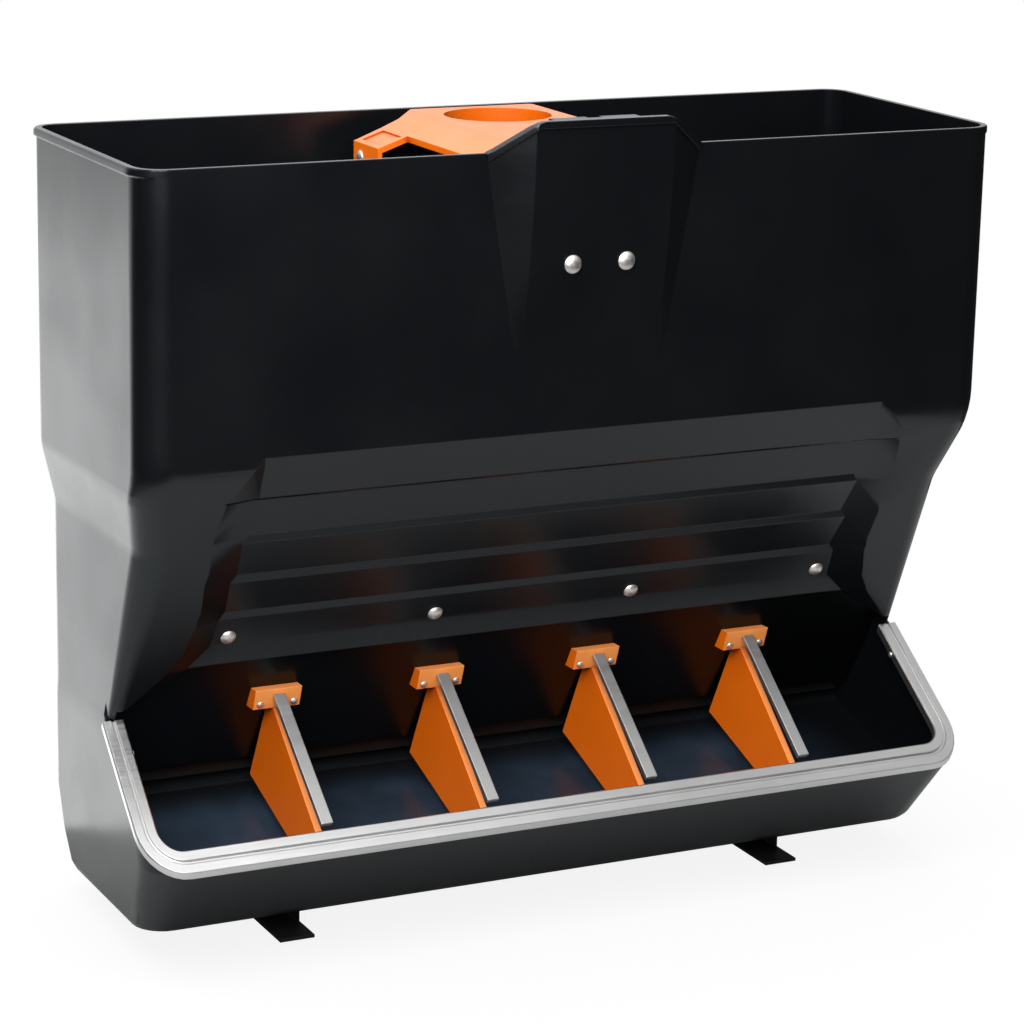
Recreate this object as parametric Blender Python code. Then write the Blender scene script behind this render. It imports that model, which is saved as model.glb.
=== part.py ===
"""Piglet weaning feeder: a long moulded hopper over a low trough, with a feed gate on a lifting handle.

Sizes are in millimetres. X runs from the middle to the right, Y from the rim's front edge to the back, and
heights are written as the drop below the rim's top. The finished object stands on Z = 0.
"""

import math

import bmesh
import bpy
from mathutils import Matrix, Vector

MM = 0.001

# Driving dimensions
RIM_HEIGHT = 680.0
RIM_WIDTH = 800.0
RIM_DEPTH = 275.5
WALL = 4.5
GAP = 0.3
FEEDING_SPACES = 5
END_ALLOWANCE = 26.5
SPACE_PITCH = (RIM_WIDTH - END_ALLOWANCE) / FEEDING_SPACES

# Rim lip
LIP_OUT = 2.5
LIP_TALL = 6.0
LIP_ROUND = 1.5

# Hopper walls
UPPER_HALF = RIM_WIDTH / 2 - LIP_OUT
SHOULDER_STEP = 11.9
LOWER_HALF = UPPER_HALF - SHOULDER_STEP
BACK = RIM_DEPTH - LIP_OUT
SHOULDER_TOP = RIM_HEIGHT - 408.0
SHOULDER_FOOT = RIM_HEIGHT - 358.0
SHOULDER_BEND = 5.0
HOPPER_FOOT = RIM_HEIGHT - 198.0
HOLLOW_FOOT = HOPPER_FOOT + 18.0
CORNER = 22.0
FRONT_CORNER = 27.0
WAIST_CORNER = 9.0
CHEEK_START = RIM_HEIGHT - 434.0
CHEEK_SLOPE = 0.49
CHEEK_BEND = 14.0
CHEEK_BEND_MIDDLE = CHEEK_START + LIP_OUT / CHEEK_SLOPE

# Trough
TROUGH_HALF = LOWER_HALF + 9.4
TROUGH_SIDE = LOWER_HALF + 5.0
TROUGH_FRONT = -6.0
TROUGH_BOTTOM = RIM_HEIGHT - 25.5
TROUGH_BOTTOM_HALF = LOWER_HALF - 3.6
TROUGH_BOTTOM_FRONT = 52.8
TROUGH_BOTTOM_BACK = 246.0
TROUGH_CORNER = 35.0
TROUGH_EDGE_ROUND = 7.0
TROUGH_BEND = RIM_HEIGHT - 60.0
TROUGH_NECK = RIM_HEIGHT - 180.0
TROUGH_WALL = WALL + 1.0
TUCK = 0.6
EDGE_FRONT_DROP = RIM_HEIGHT - 99.0
WAIST_Y = 128.0
WAIST_DROP = RIM_HEIGHT - 200.0
BOWL_TOP = WAIST_DROP - 6.0
THROAT_RING_TOP = WAIST_DROP - 14.0
EDGE_SLOPE = (EDGE_FRONT_DROP - WAIST_DROP) / (WAIST_Y - TROUGH_FRONT)
EDGE_ANGLE = math.atan(EDGE_SLOPE)
TRIM_END = WAIST_Y - 8.0
FLANGE_END = TRIM_END + 1.5
FLANGE_WIDTH = 15.8
FLANGE_THICK = 5.6
TRIM_RISE = 4.2
TRIM_OUTER_LIP = 2.2
TRIM_INNER_LIP = 5.0

# Inner floor of the trough
FLOOR_FRONT = (42.0, RIM_HEIGHT - 60.0)
FLOOR_BREAK = (200.0, RIM_HEIGHT - 97.0)
FLOOR_BACK = (266.0, RIM_HEIGHT - 175.0)

# Stepped panel, by height above the ground: front Y, height, and how far in from the lower wall its outline
# and its foot are
PANEL_ROWS = [
    (-2.5, 456.0, 89.6, 91.6),
    (2.6, 442.0, 88.9, 93.6),
    (6.4, 434.0, 86.6, 94.6),
    (22.0, 404.0, 66.6, 96.1),
    (25.6, 402.0, 65.6, 91.6),
    (43.2, 367.5, 60.6, 94.6),
    (44.1, 360.5, 60.6, 90.1),
    (64.6, 328.5, 60.6, 93.1),
    (65.5, 321.5, 60.6, 87.6),
    (85.6, 291.0, 60.6, 90.6),
    (86.5, 284.5, 60.6, 85.6),
    (100.0, 258.0, 53.6, 82.6),
    (104.0, 240.0, 42.6, 63.6),
]

# Flare under the panel, from its lower edge down to the waist
FLARE_ROWS = [
    (105.5, 238.0, 40.6, 61.6),
    (113.0, 206.0, 8.6, 11.6),
    (118.0, 196.0, -2.4, 9.6),
]
PANEL = [(row[0], RIM_HEIGHT - row[1], LOWER_HALF - row[2], LOWER_HALF - row[3]) for row in PANEL_ROWS]
FLARE = [(row[0], RIM_HEIGHT - row[1], LOWER_HALF - row[2], LOWER_HALF - row[3]) for row in FLARE_ROWS]
PANEL_SLANT = 1.12
DRAFT_PAST = 3.0
RECESS_AHEAD = -60.0
THROAT_DEEP = 150.0
LOWER_GROWTH = 2.5

# Bulge in the front wall: its crest and its sides as (half width, drop) from the top down
CREST_RISE = 27.0
BULGE_OUT = 18.0
BULGE_HALF = 64.0
BULGE_BASE_HALF = 100.0
BULGE_FOOT_HALF = 68.0
BULGE_FOOT = CHEEK_START - 58.0
BULGE_FADE = 1.4
BULGE_STEPS = 9
BULGE_TUCK = 0.4
CREST_CORNER = [(BULGE_HALF - 7.0, -CREST_RISE), (BULGE_HALF - 1.5, -25.6), (BULGE_HALF + 4.0, -22.6)]
CREST_BASE = [(BULGE_BASE_HALF - 6.0, -3.6), (BULGE_BASE_HALF - 1.5, -1.0)]

# Middle of the whole object, front to back
MIDDLE_Y = (RIM_DEPTH - (BULGE_OUT + LIP_OUT)) / 2

# Fasteners: head radius, head height, shank radius
LIP_BOLT = (7.0, 3.6, 3.0)
BULGE_BOLT = (8.0, 4.0, 3.0)
HEAD_SCREW = (3.4, 1.6, 1.4)
TRIM_SCREW = (2.8, 1.5, 1.1)
HANDLE_BOLT = (6.0, 3.2, 2.5)
GATE_BOLT = (5.5, 2.6, 2.5)
FOOT_BOLT = (5.5, 3.0, 2.5)
NUT_THICK = 4.5

# Lip bolts
LIP_BOLT_DROP = RIM_HEIGHT - 266.0
LIP_BOLT_PITCH = RIM_WIDTH * 0.24
LIP_BOLT_X = [LIP_BOLT_PITCH * place for place in (-1.5, -0.5, 0.5, 1.5)]

# Throat panel: the line of its front face and its thickness
THROAT_THICK = 3.0
THROAT_HALF = LOWER_HALF - 8.6
THROAT_TOP = RIM_HEIGHT - 283.0
THROAT_BEND = (112.2, RIM_HEIGHT - 236.5)
THROAT_FOOT = (178.0, RIM_HEIGHT - 127.0)

# Divider heads and plates
HEAD_HALF = 21.5
HEAD_TOP = RIM_HEIGHT - 207.0
HEAD_FOOT = RIM_HEIGHT - 188.0
HEAD_FRONT_TOP = 118.5
HEAD_FRONT_FOOT = 125.2
HEAD_SCREW_X = 15.5
HEAD_SCREW_DROP = RIM_HEIGHT - 192.5
PLATE_THICK = 6.0
PLATE_TOP = (130.0, RIM_HEIGHT - 192.0)
PLATE_REAR = (179.0, RIM_HEIGHT - 111.0)
PLATE_FOOT = (38.0, RIM_HEIGHT - 64.0)
PLATE_NOSE = (22.0, RIM_HEIGHT - 99.5)

# Divider rods
ROD_WIDTH = 11.0
ROD_THICK = 5.0
ROD_TOP = (119.4, RIM_HEIGHT - 201.0)
ROD_FOOT = (12.4, RIM_HEIGHT - 118.3)

# Feed gate, straps and handle
GATE_Y = 193.0
GATE_THICK = 3.0
GATE_HALF = LOWER_HALF - 9.6
GATE_TOP = RIM_HEIGHT - 202.0
GATE_FOOT = RIM_HEIGHT - 112.0
GATE_BOLT_X = 104.0
GATE_BOLT_DROP = RIM_HEIGHT - 180.0
STRAP_X = 116.7
STRAP_THICK = 3.0
STRAP_DEPTH = 24.0
STRAP_TOP = 24.5
STRAP_FOOT = RIM_HEIGHT - 150.0
STRAP_FLANGE = 22.0
STRAP_FLANGE_TOP = RIM_HEIGHT - 196.0
LEG_X = STRAP_X + GAP
LEG_THICK = 4.0
LEG_FRONT = 171.0
LEG_BACK = 223.0
LEG_FOOT = 44.0
HANDLE_BOLT_Y = 207.0
HANDLE_BOLT_DROP = 31.0
HANDLE_RISE = 3.0
HANDLE_THICK = 5.0
HANDLE_FRONT = 12.0
HANDLE_BACK = 242.0
HANDLE_FLAT_HALF = 60.0
HANDLE_EAVE_HALF = 93.0
HANDLE_EAVE_DROP = 9.5
HANDLE_EAVE_BACK = 172.0
ARM_FOOT_DROP = 19.0
HANDLE_TRIM = (100.0, -60.0)
GRIP_MIDDLE_Y = 187.0
GRIP_HALF_WIDTH = 48.0
GRIP_HALF_DEPTH = 44.0
GRIP_COLLAR = 3.0
GRIP_COLLAR_FOOT = 12.0
ARM_DIMPLE = (6.5, 1.6)
TONGUE_HALF = 6.0
TONGUE_FRONT = 4.4

# Guide behind the bulge
GUIDE_HALF = 40.0
GUIDE_BACK = 10.0
GUIDE_TOP = -25.0
GUIDE_FOOT = 125.0
GUIDE_SLOT_HALF = TONGUE_HALF + 0.6
GUIDE_SLOT_FRONT = TONGUE_FRONT - 0.8
BULGE_BOLT_X = 25.0
BULGE_BOLT_DROP = 93.5

# Gate channels moulded on the side walls
CHANNEL_REACH = 9.0
CHANNEL_RIB = 4.0
CHANNEL_CLEAR = 0.8
CHANNEL_TOP = RIM_HEIGHT - 212.0
CHANNEL_FOOT = RIM_HEIGHT - 118.0

# Feet
FOOT_X = RIM_WIDTH * 0.3
FOOT_WIDTH = 32.0
FOOT_THICK = 3.0
FOOT_FRONT = 56.0
FOOT_BACK = 226.0
WEB_FRONT = 90.0
WEB_BACK = 214.0
WEB_TOP = RIM_HEIGHT - 56.0
RIB_THICK = 5.0
FOOT_BOLT_Y = (112.0, 192.0)
FOOT_BOLT_DROP = RIM_HEIGHT - 44.0

# Facets of a rounded corner, and sides of the round pieces
CORNER_STEPS = 6
EDGE_STEPS = 8
HEAD_SIDES = 16
SCREW_SIDES = 12

# Colours: red, green, blue, roughness, metallic
BLACK_PLASTIC = (0.012, 0.012, 0.013, 0.28, 0.0)
ORANGE_PLASTIC = (0.80, 0.19, 0.012, 0.38, 0.0)
STEEL = (0.72, 0.72, 0.71, 0.25, 1.0)
BOLT_STEEL = (0.80, 0.79, 0.76, 0.22, 1.0)
BLACK_METAL = (0.015, 0.015, 0.016, 0.45, 0.0)


def place(x, y, drop):
    """The point in metres, standing on the floor and centred front to back."""
    return Vector((x * MM, (y - MIDDLE_Y) * MM, (RIM_HEIGHT - drop) * MM))


def add_material(piece, colour):
    """Give the piece a material of its own."""
    red, green, blue, roughness, metallic = colour
    material = bpy.data.materials.new(piece.name)
    material.use_nodes = True
    shader = material.node_tree.nodes["Principled BSDF"]
    shader.inputs["Base Color"].default_value = (red, green, blue, 1.0)
    shader.inputs["Roughness"].default_value = roughness
    shader.inputs["Metallic"].default_value = metallic
    material.diffuse_color = (red, green, blue, 1.0)
    piece.data.materials.clear()
    piece.data.materials.append(material)


def mesh_object(name, points, faces):
    """An object from points in metres, with its faces turned outward."""
    mesh = bpy.data.meshes.new(name)
    mesh.from_pydata([tuple(point) for point in points], [], faces)
    work = bmesh.new()
    work.from_mesh(mesh)
    bmesh.ops.connect_verts_nonplanar(work, angle_limit=math.radians(0.05), faces=work.faces)
    bmesh.ops.recalc_face_normals(work, faces=work.faces)
    if work.calc_volume(signed=True) < 0:
        bmesh.ops.reverse_faces(work, faces=work.faces)
    work.to_mesh(mesh)
    work.free()
    piece = bpy.data.objects.new(name, mesh)
    bpy.context.scene.collection.objects.link(piece)
    return piece


def loft(name, rings):
    """Skin a stack of rings that have the same number of points, and cap both ends."""
    count = len(rings[0])
    points = [point for ring in rings for point in ring]
    faces = []
    for level in range(len(rings) - 1):
        low = level * count
        high = low + count
        for index in range(count):
            after = (index + 1) % count
            faces.append((low + index, low + after, high + after, high + index))
    faces.append(tuple(reversed(range(count))))
    faces.append(tuple(range(len(points) - count, len(points))))
    return mesh_object(name, points, faces)


def prism_x(name, outline, left, right):
    """Extrude an outline of (Y, drop) points from left to right."""
    return loft(name, [[place(x, y, drop) for y, drop in outline] for x in (left, right)])


def prism_y(name, outline, front, back):
    """Extrude an outline of (X, drop) points from front to back."""
    return loft(name, [[place(x, y, drop) for x, drop in outline] for y in (front, back)])


def prism_z(name, outline, low, high):
    """Extrude an outline of (X, Y) points between two drops."""
    return loft(name, [[place(x, y, drop) for x, y in outline] for drop in (low, high)])


def box(name, x_span, y_span, drop_span):
    """A plain block between two values of X, of Y and of drop."""
    (left, right), (front, back) = x_span, y_span
    return prism_z(name, [(left, front), (right, front), (right, back), (left, back)], *drop_span)


def combine(target, tool, operation):
    """Apply one exact Boolean and remove its tool."""
    modifier = target.modifiers.new(operation, "BOOLEAN")
    modifier.operation = operation
    modifier.solver = "EXACT"
    modifier.object = tool
    bpy.context.view_layer.update()
    graph = bpy.context.evaluated_depsgraph_get()
    mesh = bpy.data.meshes.new_from_object(target.evaluated_get(graph))
    target.modifiers.clear()
    target.data = mesh
    bpy.data.objects.remove(tool)
    return target


def join(target, tool):
    return combine(target, tool, "UNION")


def cut(target, tool):
    return combine(target, tool, "DIFFERENCE")


def fillet(corners, steps=CORNER_STEPS):
    """Plan points round a closed outline of (X, Y, radius) corners."""
    points = []
    for index, (x, y, radius) in enumerate(corners):
        corner = Vector((x, y))
        before = Vector(corners[index - 1][:2]) - corner
        after = Vector(corners[(index + 1) % len(corners)][:2]) - corner
        if radius <= 0:
            points.append((x, y))
            continue
        before.normalize()
        after.normalize()
        half = before.angle(after) / 2
        middle = corner + (before + after).normalized() * radius / math.sin(half)
        start = corner + before * radius / math.tan(half) - middle
        turn = start.angle_signed(corner + after * radius / math.tan(half) - middle)
        for step in range(steps + 1):
            arm = start.copy()
            arm.rotate(Matrix.Rotation(-turn * step / steps, 2))
            points.append(tuple(middle + arm))
    return points


def plan_ring(drop, half_front, front, half_back, back, front_round, back_round, inset, side):
    """A mirrored plan outline at one drop, drawn in all round by the inset."""
    half = [
        (half_front - inset, front + inset, max(front_round - inset, 1.0)),
        (side - inset, WAIST_Y, 0.0),
        (half_back - inset, back - inset, max(back_round - inset, 1.0)),
    ]
    mirrored = [(-x, y, radius) for x, y, radius in reversed(half)]
    return [place(x, y, drop) for x, y in fillet(half + mirrored)]


def cheek_front(drop):
    """Front Y of the hopper's wall at a drop, outside the stepped panel, with a rounded bend."""
    past = drop - CHEEK_BEND_MIDDLE
    if abs(past) < CHEEK_BEND:
        return LIP_OUT + CHEEK_SLOPE * (past + CHEEK_BEND) ** 2 / (4 * CHEEK_BEND)
    return LIP_OUT + CHEEK_SLOPE * max(0.0, past)


def side_half(drop):
    """Half width of the hopper at a drop, with rounded bends above and below the shoulder."""
    half = 0.0
    for bend, share in ((SHOULDER_TOP, 1.0), (SHOULDER_FOOT, -1.0)):
        past = drop - bend
        run = max(0.0, past)
        if abs(past) < SHOULDER_BEND:
            run = (past + SHOULDER_BEND) ** 2 / (4 * SHOULDER_BEND)
        half += share * run
    return UPPER_HALF - half * SHOULDER_STEP / (SHOULDER_FOOT - SHOULDER_TOP)


def bend_drops():
    """Drops of the hopper's rings from the foot up, close together round each bend."""
    drops = []
    for middle, reach in ((SHOULDER_FOOT, SHOULDER_BEND), (SHOULDER_TOP, SHOULDER_BEND)):
        drops += [middle + reach, middle, middle - reach]
    drops += [CHEEK_BEND_MIDDLE + share * CHEEK_BEND for share in (1.0, 0.33, -0.33, -1.0)]
    return sorted(drops, reverse=True)


def hopper_ring(drop, inset=0.0, front_inset=0.0, corner=FRONT_CORNER):
    front = cheek_front(drop) + front_inset - inset
    half = side_half(drop)
    return plan_ring(drop, half, front, half, BACK, corner, CORNER, inset, half)


def hopper_outside():
    """The hopper's solid, from its foot to the top of the rim lip."""
    rings = [hopper_ring(HOPPER_FOOT, corner=WAIST_CORNER)]
    rings += [hopper_ring(drop) for drop in bend_drops()]
    rings += [
        hopper_ring(LIP_TALL + LIP_ROUND),
        hopper_ring(LIP_TALL, -LIP_OUT),
        hopper_ring(LIP_ROUND, -LIP_OUT),
        hopper_ring(0.0, LIP_ROUND - LIP_OUT),
    ]
    return loft("hopper_body", rings)


def hopper_inside():
    """The hopper's hollow, from the throat up through the open top."""
    slant = WALL * math.hypot(1.0, CHEEK_SLOPE)
    rings = [hopper_ring(HOLLOW_FOOT, WALL, slant, WAIST_CORNER)]
    for drop in bend_drops():
        share = min(1.0, max(0.0, (drop - CHEEK_BEND_MIDDLE + CHEEK_BEND) / (2 * CHEEK_BEND)))
        rings.append(hopper_ring(drop, WALL, WALL + share * (slant - WALL)))
    rings.append(hopper_ring(-2 * CREST_RISE, WALL, WALL))
    return loft("hopper_hollow", rings)


def trough_front(drop):
    """Front Y of the trough's wall at a drop."""
    share = (drop - EDGE_FRONT_DROP) / (TROUGH_BOTTOM - EDGE_FRONT_DROP)
    return TROUGH_FRONT + max(0.0, share) * (TROUGH_BOTTOM_FRONT - TROUGH_FRONT)


def trough_ring(drop, inset=0.0, bottom_inset=0.0):
    share = max(0.0, (drop - EDGE_FRONT_DROP) / (TROUGH_BOTTOM - EDGE_FRONT_DROP))
    half = TROUGH_HALF + share * (TROUGH_BOTTOM_HALF - TROUGH_HALF) - bottom_inset
    side = TROUGH_SIDE + share * (TROUGH_BOTTOM_HALF - TROUGH_SIDE) - bottom_inset
    rear = LOWER_HALF + share * (TROUGH_BOTTOM_HALF - LOWER_HALF) - bottom_inset
    back = BACK + share * share * (TROUGH_BOTTOM_BACK - BACK) - bottom_inset
    front = trough_front(drop) + bottom_inset
    corner = TROUGH_CORNER - share * 8.0
    return plan_ring(drop, half, front, rear, back, corner, CORNER, inset, side)


def throat_ring(drop, inset=0.0):
    """The trough's top ring, drawn in a little so that it starts inside the hopper's foot."""
    half = TROUGH_HALF - TUCK
    rear = LOWER_HALF - TUCK
    return plan_ring(drop, half, TROUGH_FRONT, rear, BACK - TUCK, TROUGH_CORNER, CORNER, inset, rear)


def trough_outside():
    """The trough's solid, cut off along the sloping edge."""
    low = TROUGH_BOTTOM - TROUGH_EDGE_ROUND
    rings = [
        trough_ring(TROUGH_BOTTOM, bottom_inset=TROUGH_EDGE_ROUND * 0.8),
        trough_ring(TROUGH_BOTTOM - TROUGH_EDGE_ROUND * 0.3, bottom_inset=TROUGH_EDGE_ROUND * 0.25),
        trough_ring(low),
        trough_ring(TROUGH_BEND),
        trough_ring(EDGE_FRONT_DROP),
        trough_ring(TROUGH_NECK),
        throat_ring(THROAT_RING_TOP),
    ]
    trough = loft("trough", rings)
    return cut(trough, above_edge("above_edge", WAIST_Y, THROAT_RING_TOP - 10.0))


def above_edge(name, back, top):
    """What lies above the sloping edge, in front of a Y."""
    start = TROUGH_FRONT - 2 * FLANGE_WIDTH
    outline = [(start, edge_drop(start)), (back, edge_drop(back)), (back, top), (start, top)]
    return prism_x(name, outline, -RIM_WIDTH, RIM_WIDTH)


def edge_drop(y):
    """Drop of the sloping edge's plane at a Y."""
    return WAIST_DROP + (WAIST_Y - y) * EDGE_SLOPE


def trough_hollow(name, low, high):
    """The trough's hollow between two drops."""
    rings = [trough_ring(drop, TROUGH_WALL) for drop in (low, TROUGH_BEND, EDGE_FRONT_DROP, TROUGH_NECK)]
    if high < TROUGH_NECK:
        rings.append(throat_ring(high, WALL + TUCK))
    return loft(name, rings)


def floor_outline(shift, far_drop):
    """The floor's line, moved down by a shift, closed at a far drop."""
    tilt = (FLOOR_FRONT[1] - FLOOR_BREAK[1]) / (FLOOR_BREAK[0] - FLOOR_FRONT[0])
    ramp = (FLOOR_BREAK[1] - FLOOR_BACK[1]) / (FLOOR_BACK[0] - FLOOR_BREAK[0])
    near = RECESS_AHEAD
    far = BACK + 50.0
    return [
        (near, FLOOR_FRONT[1] + (FLOOR_FRONT[0] - near) * tilt + shift),
        (FLOOR_BREAK[0] + shift * 0.35, FLOOR_BREAK[1] + shift),
        (far + shift * 0.35, FLOOR_BREAK[1] - (far - FLOOR_BREAK[0]) * ramp + shift),
        (far + 20.0, far_drop),
        (near, far_drop),
    ]


def recess_half(row, grow, widen):
    """Right half of the recess cutter at one drop: a straight side, a drafted side and the panel's foot."""
    y, drop, outline, foot = row
    mouth = cheek_front(drop) + grow
    depth = y + grow * PANEL_SLANT
    outline += grow * widen
    foot += grow * widen
    if depth < mouth + DRAFT_PAST:
        return [(outline + 2.0, RECESS_AHEAD), (outline + 2.0, depth - DRAFT_PAST), (foot, depth)]
    spread = (outline - foot) / (depth - mouth) * DRAFT_PAST
    return [(outline + spread, RECESS_AHEAD), (outline + spread, mouth - DRAFT_PAST), (foot, depth)]


def recess(name, grow=0.0):
    """What the stepped panel and the flare leave open, grown by a wall's thickness for the hollow."""
    rings = []
    for row in reversed(FLARE):
        half = recess_half(row, grow, 1.0 if row is FLARE[0] else LOWER_GROWTH)
        x, depth = half[-1]
        half.append((x - 20.0, depth) if grow else (x, THROAT_DEEP))
        rings.append(ring_of(half, row[1]))
    for row in reversed(PANEL):
        half = recess_half(row, grow, 1.0)
        x, depth = half[-1]
        rings.append(ring_of(half + [(x - 20.0, depth)], row[1]))
    return loft(name, rings)


def ring_of(half, drop):
    """A ring from its right half and the mirror of it."""
    return [place(x, y, drop) for x, y in half + [(-x, y) for x, y in reversed(half)]]


def bulge_face(drop):
    """Front Y of the bulge at a drop: a shallow curve that fades into the wall at its foot."""
    share = (drop + CREST_RISE) / (BULGE_FOOT + CREST_RISE)
    return LIP_OUT - (BULGE_OUT + LIP_OUT) * max(0.0, 1.0 - share * share) ** BULGE_FADE


def bulge_ring(drop, base, flat, shift, back):
    """One level of the bulge: its back, its sloping sides and its flat face, cut short above the rim."""
    face = bulge_face(max(drop, -CREST_RISE)) + shift
    root = LIP_OUT + shift + BULGE_TUCK
    if drop < 0:
        root = face + (root - face) * max(0.0, base - flat) / (BULGE_BASE_HALF - flat)
    half = [(min(flat, base - 1.0), face), (base, root), (base, back)]
    return [place(x, y, drop) for x, y in [(-x, y) for x, y in reversed(half)] + half]


def bulge(name, shift, back, rise=0.0):
    """The bulge moved back by a shift, or the hollow behind it where it rises past the crest."""
    rings = []
    if rise:
        rings.append(bulge_ring(-CREST_RISE - rise, BULGE_BASE_HALF, BULGE_HALF, shift, back))
    for half, drop in CREST_CORNER + CREST_BASE:
        base = BULGE_BASE_HALF if rise else half
        rings.append(bulge_ring(drop, base, BULGE_HALF, shift, back))
    for step in range(BULGE_STEPS + 1):
        drop = BULGE_FOOT * step / BULGE_STEPS
        base = BULGE_BASE_HALF + (BULGE_FOOT_HALF - BULGE_BASE_HALF) * step / BULGE_STEPS
        rings.append(bulge_ring(drop, base, BULGE_HALF, shift, back))
    return loft(name, rings)


def crest_lip():
    """The rim lip where it climbs over the bulge."""
    lip = bulge("crest_lip", -LIP_OUT, LIP_OUT + 1.0)
    reach = BULGE_BASE_HALF + 5.0
    top = -CREST_RISE - 1.0
    band = [
        (-reach, LIP_TALL),
        (-BULGE_BASE_HALF + 2.0, LIP_TALL),
        (-BULGE_HALF + 2.0, -CREST_RISE + LIP_TALL),
        (BULGE_HALF - 2.0, -CREST_RISE + LIP_TALL),
        (BULGE_BASE_HALF - 2.0, LIP_TALL),
        (reach, LIP_TALL),
        (reach, top),
        (-reach, top),
    ]
    return combine(lip, prism_y("crest_band", band, -2 * BULGE_OUT, BULGE_OUT), "INTERSECT")


def edge_path(inset, end):
    """Plan points along the trough's edge from its right end round the front to its left end."""
    share = (end - TROUGH_FRONT) / (WAIST_Y - TROUGH_FRONT)
    end_half = TROUGH_HALF + share * (TROUGH_SIDE - TROUGH_HALF) - inset
    half = TROUGH_HALF - inset
    front = TROUGH_FRONT + inset
    turn = TROUGH_CORNER - inset
    corners = [(-half, front, turn), (half, front, turn), (half, BACK, 0), (-half, BACK, 0)]
    arcs = fillet(corners, EDGE_STEPS)[: 2 * (EDGE_STEPS + 1)]
    return [(-end_half, end)] + arcs + [(end_half, end)]


def edge_sweep(name, section, end):
    """Sweep a section of (inset, rise) points along the sloping edge: square to it above, upright below."""
    rings = []
    count = len(edge_path(0.0, end))
    for station in range(count):
        ring = []
        for inset, rise in section:
            x, y = edge_path(inset, end)[station]
            if rise > 0:
                y -= rise * math.sin(EDGE_ANGLE)
                ring.append(place(x, y, edge_drop(y) - rise / math.cos(EDGE_ANGLE)))
            else:
                ring.append(place(x, y, edge_drop(y) - rise))
        rings.append(ring)
    return loft(name, rings)


def rod_along(name, start, direction, radius, length, sides=SCREW_SIDES):
    """A plain round cutter."""
    return lathe(name, [(0.0, 0.0), (radius, 0.0), (radius, length), (0.0, length)], start, direction, sides)


def lathe(name, profile, start, direction, sides):
    """Turn a profile of (radius, distance) points round a line from a start."""
    axis = Vector(direction).normalized()
    turn = Vector((0.0, 0.0, 1.0)).rotation_difference(axis).to_matrix()
    points = []
    faces = []
    rings = []
    for radius, distance in profile:
        if radius == 0.0:
            rings.append([len(points)])
            points.append(start + axis * distance * MM)
            continue
        ring = []
        for side in range(sides):
            angle = 2.0 * math.pi * side / sides
            spoke = Vector((math.cos(angle) * radius, math.sin(angle) * radius, distance))
            ring.append(len(points))
            points.append(start + turn @ spoke * MM)
        rings.append(ring)
    for low, high in zip(rings, rings[1:]):
        for side in range(sides):
            after = (side + 1) % sides
            near = [low[side % len(low)], low[after % len(low)]]
            far = [high[after % len(high)], high[side % len(high)]]
            faces.append(tuple(dict.fromkeys(near + far)))
    return mesh_object(name, points, faces)


def bolt(name, seat, outward, kind, length, colour=BOLT_STEEL, sides=HEAD_SIDES):
    """A domed bolt whose head rests on a seat and whose shank runs inward."""
    head, tall, shank = kind
    profile = [
        (0.0, tall),
        (head * 0.5, tall * 0.9),
        (head * 0.86, tall * 0.55),
        (head, 0.12 * tall),
        (head * 0.96, 0.0),
        (shank, 0.0),
        (shank, -length),
        (0.0, -length),
    ]
    axis = Vector(outward).normalized()
    piece = lathe(name, profile, seat + axis * GAP * MM, axis, sides)
    piece.data.shade_smooth()
    piece.data.set_sharp_from_angle(angle=math.radians(40.0))
    add_material(piece, colour)
    return piece


def nut(name, seat, outward, shank):
    """A six sided nut on a seat, bored to clear its bolt."""
    across = shank * 1.95
    axis = Vector(outward).normalized()
    start = seat + axis * GAP * MM
    piece = lathe(name, [(0.0, 0.0), (across, 0.0), (across, NUT_THICK), (0.0, NUT_THICK)], start, axis, 6)
    cut(piece, rod_along("bore", start - axis * 2 * MM, axis, shank + GAP, NUT_THICK + 4.0))
    add_material(piece, BOLT_STEEL)
    return piece


def drill(pieces, start, direction, radius, length):
    """The same round hole through several pieces."""
    for piece in pieces:
        cut(piece, rod_along("drill", start, direction, radius, length))


def thick_line(points, thickness):
    """An outline of (Y, drop) points on one side of a bent line."""
    far = []
    for index, (y, drop) in enumerate(points):
        spans = []
        if index:
            spans.append(Vector(points[index]) - Vector(points[index - 1]))
        if index < len(points) - 1:
            spans.append(Vector(points[index + 1]) - Vector(points[index]))
        normals = [Vector((span.y, -span.x)).normalized() for span in spans]
        middle = sum(normals, Vector((0.0, 0.0))).normalized()
        far.append(tuple(Vector((y, drop)) + middle * thickness / middle.dot(normals[0])))
    return list(points) + far[::-1]


def tidy(piece, angle=18.0):
    """Merge coincident points left by the Booleans and shade the curved faces smooth."""
    work = bmesh.new()
    work.from_mesh(piece.data)
    bmesh.ops.remove_doubles(work, verts=work.verts, dist=0.00001)
    bmesh.ops.dissolve_degenerate(work, edges=work.edges, dist=0.000005)
    work.to_mesh(piece.data)
    work.free()
    piece.data.shade_smooth()
    piece.data.set_sharp_from_angle(angle=math.radians(angle))
    return piece


def mirror_names(stem):
    return ((-1, stem + "_left"), (1, stem + "_right"))


def divider_places():
    """X of each divider and its number."""
    for index in range(FEEDING_SPACES - 1):
        yield index + 1, (index - (FEEDING_SPACES - 2) / 2) * SPACE_PITCH


def lip_surface(drop):
    """Front Y of the panel's lowest wide face at a drop."""
    (top_y, top_drop), (low_y, low_drop) = PANEL[-3][:2], PANEL[-2][:2]
    return top_y + (drop - top_drop) * (low_y - top_y) / (low_drop - top_drop)


def lip_normal():
    (top_y, top_drop), (low_y, low_drop) = PANEL[-3][:2], PANEL[-2][:2]
    return Vector((0.0, top_drop - low_drop, top_y - low_y)).normalized()


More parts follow.
